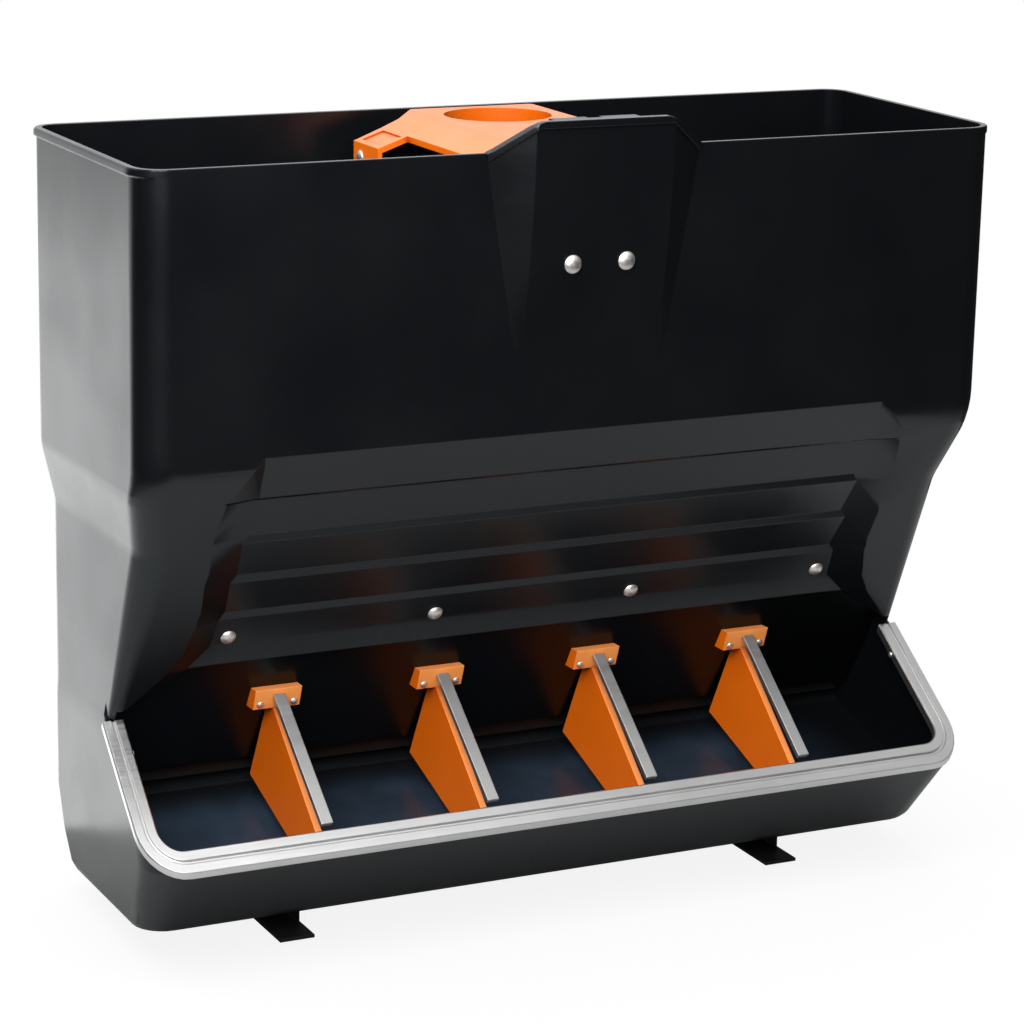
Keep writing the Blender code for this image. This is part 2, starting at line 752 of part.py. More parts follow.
def hopper_body():
    """The one moulded shell: hopper, bulge, stepped panel, trough, floor, channels and foot ribs."""
    body = hopper_outside()
    join(body, trough_outside())
    join(body, bulge("bulge", 0.0, LIP_OUT + WALL - 1.0))
    join(body, crest_lip())

    hollow = hopper_inside()
    cut(hollow, recess("recess_skin", WALL))
    cut(body, hollow)

    below = RIM_HEIGHT + 40.0
    bowl = trough_hollow("bowl", TROUGH_BOTTOM - TROUGH_WALL, BOWL_TOP)
    cut(bowl, prism_x("floor", floor_outline(0.0, below), -RIM_WIDTH, RIM_WIDTH))
    cut(body, bowl)

    cut(body, bulge("bulge_hollow", WALL, LIP_OUT + WALL + 8.0, rise=30.0))
    cut(body, recess("recess"))

    pocket = trough_hollow("pocket", RIM_HEIGHT - 10.0, TROUGH_NECK)
    cut(pocket, prism_x("under_floor", floor_outline(WALL * 1.05, CHEEK_START), -RIM_WIDTH, RIM_WIDTH))
    for side in (-1, 1):
        web = side * FOOT_X + FOOT_WIDTH / 2
        rib_x = (web + GAP, web + GAP + RIB_THICK)
        cut(pocket, box("rib", rib_x, (RECESS_AHEAD, BACK + 50.0), (below, CHEEK_START)))
    cut(body, pocket)

    flange = [(1.0, 2.0), (FLANGE_WIDTH, 2.0), (FLANGE_WIDTH, -FLANGE_THICK), (1.0, -FLANGE_THICK)]
    join(body, edge_sweep("flange", flange, FLANGE_END))
    cut(body, above_edge("edge_trim_off", FLANGE_END + 1.0, HOPPER_FOOT + 0.5))

    inner = LOWER_HALF - WALL
    for side in (-1, 1):
        for near, far in gate_ribs():
            span = sorted((side * (inner + 2.0), side * (inner - CHANNEL_REACH)))
            join(body, box("channel_rib", span, (near, far), (CHANNEL_FOOT, CHANNEL_TOP)))
    return body


def gate_ribs():
    """Y spans of the two ribs that hold one edge of the gate."""
    front = GATE_Y - CHANNEL_CLEAR
    back = GATE_Y + GATE_THICK + CHANNEL_CLEAR
    return (front - CHANNEL_RIB, front), (back, back + CHANNEL_RIB)


def edge_trim():
    """The pressed steel strip that caps the trough's edge, with a ridge and a groove along it."""
    outer = -1.7
    inner = FLANGE_WIDTH + 1.6
    sheet = 1.2
    section = [
        (outer, -TRIM_OUTER_LIP),
        (outer, 2.8),
        (outer + sheet, TRIM_RISE),
        (6.0, TRIM_RISE),
        (7.2, 2.6),
        (8.4, 2.6),
        (9.6, TRIM_RISE),
        (inner - sheet, TRIM_RISE),
        (inner, 2.8),
        (inner, -TRIM_INNER_LIP),
        (inner - sheet, -TRIM_INNER_LIP),
        (inner - sheet, GAP),
        (outer + sheet, GAP),
        (outer + sheet, -TRIM_OUTER_LIP),
    ]
    trim = edge_sweep("trough_edge_trim", section, TRIM_END)
    add_material(trim, STEEL)
    return trim


def throat_panel():
    """The sheet behind the lip that carries the divider heads."""
    slant = (WALL + GAP) * 1.12
    line = [
        (lip_surface(THROAT_TOP) + slant, THROAT_TOP),
        (PANEL[-2][0] + slant, PANEL[-2][1]),
        THROAT_BEND,
        THROAT_FOOT,
    ]
    panel = prism_x("throat_panel", thick_line(line, THROAT_THICK), -THROAT_HALF, THROAT_HALF)
    add_material(panel, BLACK_PLASTIC)
    return panel


def throat_face(drop):
    """Front Y of the throat panel's sloping sheet at a drop."""
    share = (drop - THROAT_BEND[1]) / (THROAT_FOOT[1] - THROAT_BEND[1])
    return THROAT_BEND[0] + share * (THROAT_FOOT[0] - THROAT_BEND[0])


def divider(number, x, panel):
    """One orange divider, its two screws and its rod."""
    head = prism_x(
        f"divider_{number}",
        [
            (HEAD_FRONT_TOP, HEAD_TOP),
            (HEAD_FRONT_FOOT, HEAD_FOOT),
            (throat_face(HEAD_FOOT) - GAP, HEAD_FOOT),
            (throat_face(HEAD_TOP) - GAP, HEAD_TOP),
        ],
        x - HEAD_HALF,
        x + HEAD_HALF,
    )
    plate = prism_x(
        "plate",
        [PLATE_NOSE, PLATE_FOOT, PLATE_REAR, (throat_face(PLATE_TOP[1]) - 1.0, PLATE_TOP[1]), PLATE_TOP],
        x - PLATE_THICK / 2,
        x + PLATE_THICK / 2,
    )
    join(head, plate)
    across = (HEAD_SCREW_DROP - HEAD_TOP) / (HEAD_FOOT - HEAD_TOP)
    seat_y = HEAD_FRONT_TOP + across * (HEAD_FRONT_FOOT - HEAD_FRONT_TOP)
    outward = Vector((0.0, HEAD_TOP - HEAD_FOOT, HEAD_FRONT_TOP - HEAD_FRONT_FOOT)).normalized()
    for side, name in mirror_names(f"divider_screw_{number}"):
        seat = place(x + side * HEAD_SCREW_X, seat_y, HEAD_SCREW_DROP)
        drill([head, panel], seat + outward * 2 * MM, -outward, HEAD_SCREW[2] + GAP, 24.0)
        bolt(name, seat, outward, HEAD_SCREW, 19.0, sides=SCREW_SIDES)
    add_material(head, ORANGE_PLASTIC)
    add_rod(number, x)


def add_rod(number, x):
    """A flat steel bar from the divider's head down to the steel edge."""
    run = Vector(ROD_FOOT) - Vector(ROD_TOP)
    normal = Vector((run.y, -run.x)).normalized() * ROD_THICK / 2
    if normal.y > 0:
        normal = -normal
    outline = [
        tuple(Vector(ROD_TOP) + normal),
        tuple(Vector(ROD_FOOT) + normal),
        tuple(Vector(ROD_FOOT) - normal),
        tuple(Vector(ROD_TOP) - normal),
    ]
    rod = prism_x(f"divider_rod_{number}", outline, x - ROD_WIDTH / 2, x + ROD_WIDTH / 2)
    add_material(rod, STEEL)


def lip_bolts(body, panel):
    """Four bolts through the lip and the throat panel."""
    outward = lip_normal()
    depth = WALL + 2 * GAP + THROAT_THICK
    for number, x in enumerate(LIP_BOLT_X, 1):
        seat = place(x, lip_surface(LIP_BOLT_DROP), LIP_BOLT_DROP)
        drill([body, panel], seat + outward * 6 * MM, -outward, LIP_BOLT[2] + GAP, 30.0)
        bolt(f"lip_bolt_{number}", seat, outward, LIP_BOLT, depth + NUT_THICK + 3.0)
        nut(f"lip_nut_{number}", seat - outward * (depth + 0.3) * MM, -outward, LIP_BOLT[2])


def guide_and_bolts(body):
    """The slotted guide behind the bulge, with its two bolts and nuts."""
    outline = [
        (bulge_face(GUIDE_FOOT) + WALL + 2 * GAP, GUIDE_FOOT),
        (GUIDE_BACK, GUIDE_FOOT),
        (GUIDE_BACK, GUIDE_TOP),
    ]
    steps = 5
    for step in range(steps + 1):
        drop = GUIDE_TOP + (GUIDE_FOOT - GUIDE_TOP) * step / steps
        if step < steps:
            outline.append((bulge_face(drop) + WALL + 2 * GAP, drop))
    guide = prism_x("handle_guide", outline, -GUIDE_HALF, GUIDE_HALF)
    slot_y = (GUIDE_SLOT_FRONT, GUIDE_BACK + 5.0)
    cut(guide, box("slot", (-GUIDE_SLOT_HALF, GUIDE_SLOT_HALF), slot_y, (GUIDE_FOOT + 5.0, GUIDE_TOP - 5.0)))
    outward = Vector((0.0, -1.0, 0.0))
    for side, word in mirror_names("bulge"):
        x = side * BULGE_BOLT_X
        seat = place(x, bulge_face(BULGE_BOLT_DROP - BULGE_BOLT[0]), BULGE_BOLT_DROP)
        drill([body, guide], seat + outward * 8 * MM, -outward, BULGE_BOLT[2] + GAP, 50.0)
        reach = GUIDE_BACK - bulge_face(BULGE_BOLT_DROP)
        bolt(word + "_bolt", seat, outward, BULGE_BOLT, reach + NUT_THICK + 3.0)
        nut(word + "_nut", place(x, GUIDE_BACK, BULGE_BOLT_DROP), -outward, BULGE_BOLT[2])
    add_material(guide, BLACK_PLASTIC)


def feed_gate():
    """The plate that sets the height of the feed slot."""
    gate = box("feed_gate", (-GATE_HALF, GATE_HALF), (GATE_Y, GATE_Y + GATE_THICK), (GATE_FOOT, GATE_TOP))
    add_material(gate, BLACK_METAL)
    return gate


def strap(side, name, gate):
    """A flat bar from the handle's leg down to the gate, with a turned flange at its foot."""
    front = GATE_Y + GATE_THICK + GAP
    x_span = sorted((side * STRAP_X, side * (STRAP_X - STRAP_THICK)))
    bar = box(name, x_span, (front, front + STRAP_DEPTH), (STRAP_FOOT, STRAP_TOP))
    flange_span = sorted((side * (STRAP_X - 0.5), side * (STRAP_X - STRAP_FLANGE)))
    flange_y = (front, front + STRAP_THICK)
    join(bar, box("flange", flange_span, flange_y, (STRAP_FOOT, STRAP_FLANGE_TOP)))
    outward = Vector((0.0, -1.0, 0.0))
    seat = place(side * GATE_BOLT_X, GATE_Y, GATE_BOLT_DROP)
    drill([bar, gate], seat + outward * 5 * MM, -outward, GATE_BOLT[2] + GAP, 20.0)
    word = name.rpartition("_")[2]
    bolt(f"gate_bolt_{word}", seat, outward, GATE_BOLT, GATE_THICK + STRAP_THICK + GAP + NUT_THICK + 2.0)
    back = place(side * GATE_BOLT_X, front + STRAP_THICK, GATE_BOLT_DROP)
    nut(f"gate_nut_{word}", back, -outward, GATE_BOLT[2])
    add_material(bar, STEEL)
    return bar


def handle_shell():
    """The handle's roof shape: a flat middle, sloping wings, arms and legs."""
    top = -HANDLE_RISE
    eave = HANDLE_EAVE_DROP
    profile = [
        (0.0, top),
        (HANDLE_FLAT_HALF, top),
        (HANDLE_EAVE_HALF, eave),
        (LEG_X + LEG_THICK, ARM_FOOT_DROP),
        (LEG_X + LEG_THICK, LEG_FOOT),
        (LEG_X, LEG_FOOT),
        (LEG_X, ARM_FOOT_DROP + HANDLE_THICK * 0.8),
        (HANDLE_EAVE_HALF - 1.0, eave + HANDLE_THICK),
        (HANDLE_FLAT_HALF - 1.0, top + HANDLE_THICK),
    ]
    outline = profile + [(-x, drop) for x, drop in reversed(profile[1:])]
    return prism_y("handle", outline, HANDLE_FRONT, HANDLE_BACK)


def arm_dimple(side):
    """The shallow recess in an arm's sloping face."""
    margin, deep = ARM_DIMPLE
    fall = (ARM_FOOT_DROP - HANDLE_EAVE_DROP) / (LEG_X + LEG_THICK - HANDLE_EAVE_HALF)
    near = HANDLE_EAVE_HALF + 3.0
    far = LEG_X + LEG_THICK - 5.0
    line = [(x, HANDLE_EAVE_DROP + (x - HANDLE_EAVE_HALF) * fall) for x in (near, far)]
    outline = [(side * x, drop + deep) for x, drop in line]
    outline += [(side * x, drop - 3 * deep) for x, drop in reversed(line)]
    return prism_y("dimple", outline, LEG_FRONT + margin, LEG_BACK - margin)


def handle(straps):
    """The orange lifting handle with its grip hole and tongue."""
    shell = handle_shell()
    far = LEG_X + LEG_THICK + 20.0
    for side in (-1, 1):
        front = [
            (side * HANDLE_EAVE_HALF, HANDLE_FRONT - 10.0),
            (side * far, HANDLE_FRONT - 10.0),
            (side * far, LEG_FRONT),
            (side * LEG_X, LEG_FRONT),
            (side * HANDLE_EAVE_HALF, HANDLE_EAVE_BACK),
        ]
        cut(shell, prism_z("front_trim", front, *HANDLE_TRIM))
        back = [
            (side * (HANDLE_FLAT_HALF - 2.0), HANDLE_BACK + 10.0),
            (side * (HANDLE_FLAT_HALF - 2.0), HANDLE_BACK - 0.5),
            (side * (HANDLE_EAVE_HALF - 17.0), HANDLE_BACK - 13.0),
            (side * LEG_X, LEG_BACK),
            (side * far, LEG_BACK),
            (side * far, HANDLE_BACK + 10.0),
        ]
        cut(shell, prism_z("back_trim", back, *HANDLE_TRIM))
    steps = 32
    oval = []
    for step in range(steps):
        angle = 2.0 * math.pi * step / steps
        oval.append((GRIP_HALF_WIDTH * math.cos(angle), GRIP_MIDDLE_Y + GRIP_HALF_DEPTH * math.sin(angle)))
    grown = 1.0 + GRIP_COLLAR / GRIP_HALF_DEPTH
    wide = [(x * grown, GRIP_MIDDLE_Y + (y - GRIP_MIDDLE_Y) * grown) for x, y in oval]
    join(shell, prism_z("collar", wide, GRIP_COLLAR_FOOT, -HANDLE_RISE + 1.0))
    cut(shell, prism_z("grip_hole", oval, 60.0, -40.0))
    for side in (-1, 1):
        cut(shell, arm_dimple(side))
    tongue_y = (TONGUE_FRONT, HANDLE_FRONT + 6.0)
    tongue_drop = (-HANDLE_RISE + HANDLE_THICK - 0.2, -HANDLE_RISE + 0.2)
    join(shell, box("tongue", (-TONGUE_HALF, TONGUE_HALF), tongue_y, tongue_drop))
    for side, name in mirror_names("handle"):
        outward = Vector((side, 0.0, 0.0))
        seat = place(side * (LEG_X + LEG_THICK), HANDLE_BOLT_Y, HANDLE_BOLT_DROP)
        bar = straps[side]
        drill([shell, bar], seat + outward * 5 * MM, -outward, HANDLE_BOLT[2] + GAP, 20.0)
        bolt(name + "_bolt", seat, outward, HANDLE_BOLT, LEG_THICK + STRAP_THICK + GAP + NUT_THICK + 2.0)
        inner = place(side * (STRAP_X - STRAP_THICK), HANDLE_BOLT_Y, HANDLE_BOLT_DROP)
        nut(name + "_nut", inner, -outward, HANDLE_BOLT[2])
    add_material(shell, ORANGE_PLASTIC)
    return shell


def foot(side, name, body):
    """An angle bracket: a plate on the floor and a web bolted to a rib under the trough."""
    web = side * FOOT_X + FOOT_WIDTH / 2
    left = web - FOOT_WIDTH
    floor = RIM_HEIGHT
    piece = box(name, (left, web), (FOOT_FRONT, FOOT_BACK), (floor, floor - FOOT_THICK))
    join(piece, box("web", (web - FOOT_THICK, web), (WEB_FRONT, WEB_BACK), (floor - 1.0, WEB_TOP)))
    outward = Vector((-1.0, 0.0, 0.0))
    word = name.rpartition("_")[2]
    for number, y in enumerate(FOOT_BOLT_Y, 1):
        seat = place(web - FOOT_THICK, y, FOOT_BOLT_DROP)
        drill([piece, body], seat + outward * 5 * MM, -outward, FOOT_BOLT[2] + GAP, 20.0)
        reach = FOOT_THICK + GAP + RIB_THICK
        long = reach + NUT_THICK + 2.0
        bolt(f"foot_bolt_{word}_{number}", seat, outward, FOOT_BOLT, long, BLACK_METAL, SCREW_SIDES)
        nut(f"foot_nut_{word}_{number}", seat - outward * (reach + GAP) * MM, -outward, FOOT_BOLT[2])
    add_material(piece, BLACK_METAL)


def trim_screws(body, trim):
    """A small screw through the inner lip of each side leg."""
    y = TRIM_END - 24.0
    rise = -2.2
    inset = FLANGE_WIDTH + 1.6
    share = (y - TROUGH_FRONT) / (WAIST_Y - TROUGH_FRONT)
    half = TROUGH_HALF + share * (TROUGH_SIDE - TROUGH_HALF) - inset
    for side, name in mirror_names("trim_screw"):
        outward = Vector((-side, 0.0, 0.0))
        seat = place(side * half, y, edge_drop(y) - rise)
        drill([body, trim], seat + outward * 3 * MM, -outward, TRIM_SCREW[2] + GAP, 14.5)
        bolt(name, seat, outward, TRIM_SCREW, 10.0, sides=SCREW_SIDES)


def slide_parent(pieces):
    """Hang the moving pieces on an empty that stands on the gate's sliding line."""
    empty = bpy.data.objects.new("gate_slide", None)
    bpy.context.scene.collection.objects.link(empty)
    empty.location = place(0.0, GATE_Y + GATE_THICK / 2, GATE_FOOT)
    bpy.context.view_layer.update()
    for piece in pieces:
        piece.parent = empty
        piece.matrix_parent_inverse = empty.matrix_world.inverted()


def main():
    for old in list(bpy.data.objects):
        bpy.data.objects.remove(old)
    body = hopper_body()
    trim = edge_trim()
    panel = throat_panel()
    for number, x in divider_places():
        divider(number, x, panel)
    lip_bolts(body, panel)
    guide_and_bolts(body)
    gate = feed_gate()
    straps = {side: strap(side, name, gate) for side, name in mirror_names("lift_strap")}
    handle(straps)
    for side, name in mirror_names("foot"):
        foot(side, name, body)
    trim_screws(body, trim)
    add_material(body, BLACK_PLASTIC)
    for piece in bpy.data.objects:
        if piece.type == "MESH":
            tidy(piece)
    moving = ("feed_gate", "gate_bolt", "gate_nut", "lift_strap", "handle_left", "handle_right")
    names = [piece.name for piece in bpy.data.objects if piece.name.startswith(moving)]
    slide_parent([bpy.data.objects[name] for name in names + ["handle"]])


main()
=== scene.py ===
"""The looks of the piglet feeder: materials, soft edges, studio light and the camera."""

import math

import bpy
from mathutils import Matrix, Vector

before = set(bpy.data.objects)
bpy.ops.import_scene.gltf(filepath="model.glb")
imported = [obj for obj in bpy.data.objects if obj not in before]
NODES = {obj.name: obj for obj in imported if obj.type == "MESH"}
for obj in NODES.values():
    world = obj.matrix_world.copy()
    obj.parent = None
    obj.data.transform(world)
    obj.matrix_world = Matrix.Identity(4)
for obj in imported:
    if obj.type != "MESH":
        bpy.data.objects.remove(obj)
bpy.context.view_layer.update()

# The directions up and down, and the levels of a value that sets in or fades out
UP = Vector((0.0, 0.0, 1.0))
DOWN = Vector((0.0, 0.0, -1.0))
RISE = (0.0, 1.0)
FALL = (1.0, 0.0)

# Camera: focal length in image widths, turn, downward tilt and roll in degrees, place in metres
CAMERA_FOCUS = 3.293
CAMERA_YAW = 26.37
CAMERA_PITCH = 14.54
CAMERA_ROLL = 1.19
CAMERA_PLACE = (-1.285, -2.5765, 1.086)
SENSOR = 36.0

# Lamps: place, width and height in metres, power in watts, and the low panel's turn in degrees
KEY_PLACE = Vector((-1.0, -1.6, 1.35))
KEY_AIM = Vector((0.0, 0.0, 0.2))
KEY_SIZE = (1.5, 1.1)
KEY_POWER = 60.0
CEILING_PLACE = (-0.45, -0.2, 2.0)
CEILING_SIZE = (2.4, 2.4)
CEILING_POWER = 24.0
PANEL_PLACE = (-0.82, 1.86, 0.012)
PANEL_SIZE = (0.8, 3.35)
PANEL_POWER = 12.0
PANEL_TURN = 20.0

# Room: its dark level, the levels overhead and behind, and how far up and back these set in
WHITE = (1.0, 1.0, 1.0, 1.0)
ROOM = 0.03
SKY = 0.55
SKY_SPAN = (0.15, 0.70)
BACKDROP = 1.0
BACKDROP_SPAN = (0.60, 0.87)

# Round floor: half its size, its middle and its top in metres, its sides and its finish
FLOOR_SPAN = (1.1, 1.0)
FLOOR_MIDDLE = 0.3
FLOOR_TOP = -0.0005
FLOOR_SIDES = 96
FLOOR_COLOUR = (0.92, 0.92, 0.92)
FLOOR_ROUGHNESS = 0.9
# The share of its colour to the eye that is glow, and how bright that glow is
GLOW_SHARE = 0.8
GLOW = 1.1

# In the materials below, patches, ripple and grain are in waves per metre, a bump is its strength
# and its depth in metres, an edge is the width of its rounding in metres, and an even roughness
# stands in where the noise isn't read. First come the span of the noise that is used, and the
# samples of a soft edge and of a hollow
NOISE_SPAN = (0.3, 0.7)
EDGE_SAMPLES = 6
HOLLOW_SAMPLES = 4

# Black plastic: its range of colour, its cool gloss, and the finish of the body and of the sheets;
# shade scales the colour, and the sheets' lower shade is painted shade
BLACK_SKIN = ((0.0026, 0.0031, 0.0040), (0.0042, 0.0047, 0.0057))
BLACK_MIDDLE = (0.0036, 0.0039, 0.0046)
BLACK_TINT = (0.88, 0.97, 1.0, 1.0)
BODY_FINISH = {"roughness": 0.25, "specular": 0.5, "shade": 1.0}
SHEET_FINISH_AND_SHADE = {"roughness": 0.26, "specular": 0.25, "shade": 0.4}
BLACK_VARIATION = (-0.02, 0.06)
BLACK_PATCHES = 9.0
BLACK_RIPPLE = 40.0
BLACK_GRAIN = 900.0
RIPPLE_BUMP = (0.12, 0.0006)
BLACK_BUMP = (0.06, 0.0001)
BLACK_EDGE = 0.0015
# Roughness added low down, up to these heights in metres, but not where it looks to the left
RUBBED = 0.02
RUBBED_HEIGHT = (0.33, 0.42)
RUBBED_FACING = (-0.95, -0.75)
# Its gloss is lowered as painted shade in hollows, judged over this reach in metres, and where it
# looks to the middle
BLACK_REACH = 0.3
BLACK_OPENNESS = (0.35, 0.95)
HOLLOW_GLOSS = 0.10
INWARD_SPAN = (-0.12, -0.03)
INWARD_GLOSS = 0.2
# A painted highlight lies in patches where the trough is level, and fades at its back and right
# end, where the walls shade the floor
LEVEL_HIGHLIGHT_COLOUR = (0.022, 0.036, 0.056)
LEVEL_HIGHLIGHT_PATCHES = 22.0
LEVEL_HIGHLIGHT_DETAIL = 4.0
LEVEL_HIGHLIGHT_LEVELS = (0.55, 1.0)
LEVEL_HIGHLIGHT_FACING = (0.80, 0.97)
LEVEL_HIGHLIGHT_DEPTH = (0.02, 0.07)
LEVEL_HIGHLIGHT_END = (0.24, 0.36)

# Orange plastic: its range of colour, the painted highlight that makes the front and top of each
# moulding paler, and the painted shade in its hollows
ORANGE_SKIN = ((0.84, 0.150, 0.002), (0.90, 0.170, 0.004))
ORANGE_MIDDLE = (0.84, 0.16, 0.004)
# The painted shade colour in the hollows
ORANGE_HOLLOW_SHADE = (0.40, 0.045, 0.002)
# The front and top colours are painted highlights, and specular is the real gloss
DIVIDER_GLOSS_AND_HIGHLIGHT = {"front": (0.93, 0.34, 0.085), "top": (0.93, 0.30, 0.080), "specular": 0.45}
HANDLE_GLOSS_AND_HIGHLIGHT = {"front": (0.86, 0.16, 0.006), "top": (0.90, 0.27, 0.115), "specular": 0.15}
FRONT_FACING = (-0.4, -0.8)
TOP_FACING = (0.4, 0.8)
ORANGE_REACH = 0.12
ORANGE_OPENNESS = (0.60, 0.98)
ORANGE_EVEN = 0.4
ORANGE_ROUGHNESS = (0.34, 0.44)
ORANGE_PATCHES = 25.0
ORANGE_GRAIN = 1200.0
ORANGE_BUMP = (0.10, 0.00008)
ORANGE_EDGE = 0.0008

# Stainless steel: the grey and the roughness of each piece, how both vary, and the grain
TRIM_FINISH = {"grey": 0.66, "roughness": 0.3}
ROD_FINISH = {"grey": 0.52, "roughness": 0.42}
STEEL_VARIATION = 0.1
STEEL_WARMTH = 0.01
STEEL_PATCHES = 30.0
STEEL_GRAIN = 60.0
STEEL_DETAIL = 2.0
STEEL_STRETCH = (0.3, 6.0, 6.0)
STEEL_BUMP = (0.03, 0.0001)
STEEL_EDGE = 0.0006

# Plated steel of the bolts, nuts and screws
BOLT_COLOUR = (0.86, 0.83, 0.80)
BOLT_EVEN = 0.42
BOLT_ROUGHNESS = (0.38, 0.50)
BOLT_GRAIN = 400.0
BOLT_BUMP = (0.05, 0.0001)
BOLT_EDGE = 0.0004

# Black paint of the feet and the gate
PAINT_COLOUR = (0.004, 0.004, 0.0045)
PAINT_SPECULAR = 0.3
PAINT_EVEN = 0.5
PAINT_ROUGHNESS = (0.38, 0.55)
PAINT_GRAIN = 500.0
PAINT_BUMP = (0.15, 0.0001)
PAINT_EDGE = 0.0008

# Node names by material
STAINLESS = ("trough_edge_trim", "lift_strap_")
BLACK_METAL = ("foot_left", "foot_right", "foot_bolt_", "feed_gate")

# Edges by node name: the sharpest angle that is shaded smooth, in degrees, and the width of the
# rounding in metres
EDGES = [
    (("divider_screw_", "handle_left", "handle_right", "handle_guide"), (35.0, 0.0)),
    (("divider_rod_",), (35.0, 0.0006)),
    (("divider_",), (35.0, 0.0010)),
    (("handle",), (35.0, 0.0012)),
    (("foot_left", "foot_right"), (35.0, 0.0006)),
    (("hopper_body",), (17.5, 0.0)),
    (("",), (35.0, 0.0)),
]
# The steps of a rounding, the angle that still counts as flat, and how near two points are one
EDGE_STEPS = 3
FLAT_ANGLE = 1.0
SAME_POINT = 0.00001

# Sockets of a colour mix, whose names are not unique: its share, its two colours and its result
MIX_SHARE, MIX_FIRST, MIX_SECOND, MIX_RESULT = 0, 6, 7, 2


def add_node(tree, kind, x, y, **values):
    """A node at a place in the tree, with its plain settings."""
    node = tree.nodes.new(kind)
    node.location = (x, y)
    for name, value in values.items():
        setattr(node, name, value)
    return node


def add_object(name, data):
    """An object in the scene with the given data."""
    added = bpy.data.objects.new(name, data)
    bpy.context.scene.collection.objects.link(added)
    return added


def new_material(name, colour, roughness, metallic=0.0):
    """A material with one Principled shader, and that shader."""
    material = bpy.data.materials.new(name)
    material.use_nodes = True
    shader = material.node_tree.nodes["Principled BSDF"]
    shader.inputs["Base Color"].default_value = (*colour, 1.0)
    shader.inputs["Roughness"].default_value = roughness
    shader.inputs["Metallic"].default_value = metallic
    return material, shader


def noise(tree, scale, x, y, detail=2.0, stretch=(1.0, 1.0, 1.0)):
    """Noise in object space, finer along an axis where its stretch is larger."""
    place = add_node(tree, "ShaderNodeTexCoord", x - 600, y)
    mapping = add_node(tree, "ShaderNodeMapping", x - 400, y)
    mapping.inputs["Scale"].default_value = stretch
    texture = add_node(tree, "ShaderNodeTexNoise", x - 200, y)
    texture.inputs["Scale"].default_value = scale
    texture.inputs["Detail"].default_value = detail
    tree.links.new(place.outputs["Object"], mapping.inputs["Vector"])
    tree.links.new(mapping.outputs["Vector"], texture.inputs["Vector"])
    return texture.outputs["Fac"]


def map_range(tree, value, span, levels, x, y, step):
    """Map the ends of a value's span to two levels."""
    node = add_node(tree, "ShaderNodeMapRange", x, y, interpolation_type=step)
    node.inputs["From Min"].default_value = span[0]
    node.inputs["From Max"].default_value = span[1]
    node.inputs["To Min"].default_value = levels[0]
    node.inputs["To Max"].default_value = levels[1]
    tree.links.new(value, node.inputs["Value"])
    return node.outputs["Result"]


def spread(tree, value, levels, x, y):
    """Map noise evenly to a range of levels."""
    return map_range(tree, value, NOISE_SPAN, levels, x, y, "LINEAR")


def ramp(tree, value, span, levels, x, y):
    """A smooth step from one level to another."""
    return map_range(tree, value, span, levels, x, y, "SMOOTHSTEP")


def combine(tree, operation, first, second, x, y):
    """Two values multiplied, added or compared."""
    node = add_node(tree, "ShaderNodeMath", x, y, operation=operation)
    tree.links.new(first, node.inputs[0])
    tree.links.new(second, node.inputs[1])
    return node.outputs[0]


def blend(tree, share, first, second, x, y):
    """Two colours blended by a value, each colour a socket or three numbers."""
    node = add_node(tree, "ShaderNodeMix", x, y, data_type="RGBA")
    tree.links.new(share, node.inputs[MIX_SHARE])
    for colour, index in ((first, MIX_FIRST), (second, MIX_SECOND)):
        if isinstance(colour, bpy.types.NodeSocket):
            tree.links.new(colour, node.inputs[index])
        else:
            node.inputs[index].default_value = (*colour, 1.0)
    return node.outputs[MIX_RESULT]


def split(tree, vector, x, y):
    """The sockets of a vector's X, Y and Z."""
    node = add_node(tree, "ShaderNodeSeparateXYZ", x, y)
    tree.links.new(vector, node.inputs[0])
    return node.outputs


def openness(tree, reach, x, y):
    """How open a spot is, from 0 deep in a hollow of its own piece to 1 on a free face."""
    node = add_node(
        tree, "ShaderNodeAmbientOcclusion", x, y, samples=HOLLOW_SAMPLES, only_local=True
    )
    node.inputs["Distance"].default_value = reach
    return node.outputs["AO"]


def relief(tree, shader, bumps, radius):
    """Chain bumps of (value, (strength, depth)) into the shader's normal, over softened edges."""
    soft = add_node(tree, "ShaderNodeBevel", -700, -500, samples=EDGE_SAMPLES)
    soft.inputs["Radius"].default_value = radius
    normal = soft.outputs["Normal"]
    for index, (value, (strength, depth)) in enumerate(bumps):
        bump = add_node(tree, "ShaderNodeBump", -400 + 200 * index, -500)
        bump.inputs["Strength"].default_value = strength
        bump.inputs["Distance"].default_value = depth
        tree.links.new(value, bump.inputs["Height"])
        tree.links.new(normal, bump.inputs["Normal"])
        normal = bump.outputs["Normal"]
    tree.links.new(normal, shader.inputs["Normal"])


def add_grain(tree, shader, grain, levels, bump, radius):
    """Let a metal's grain set its roughness between two levels and lift its surface."""
    tree.links.new(spread(tree, grain, levels, -300, 200), shader.inputs["Roughness"])
    relief(tree, shader, [(grain, bump)], radius)


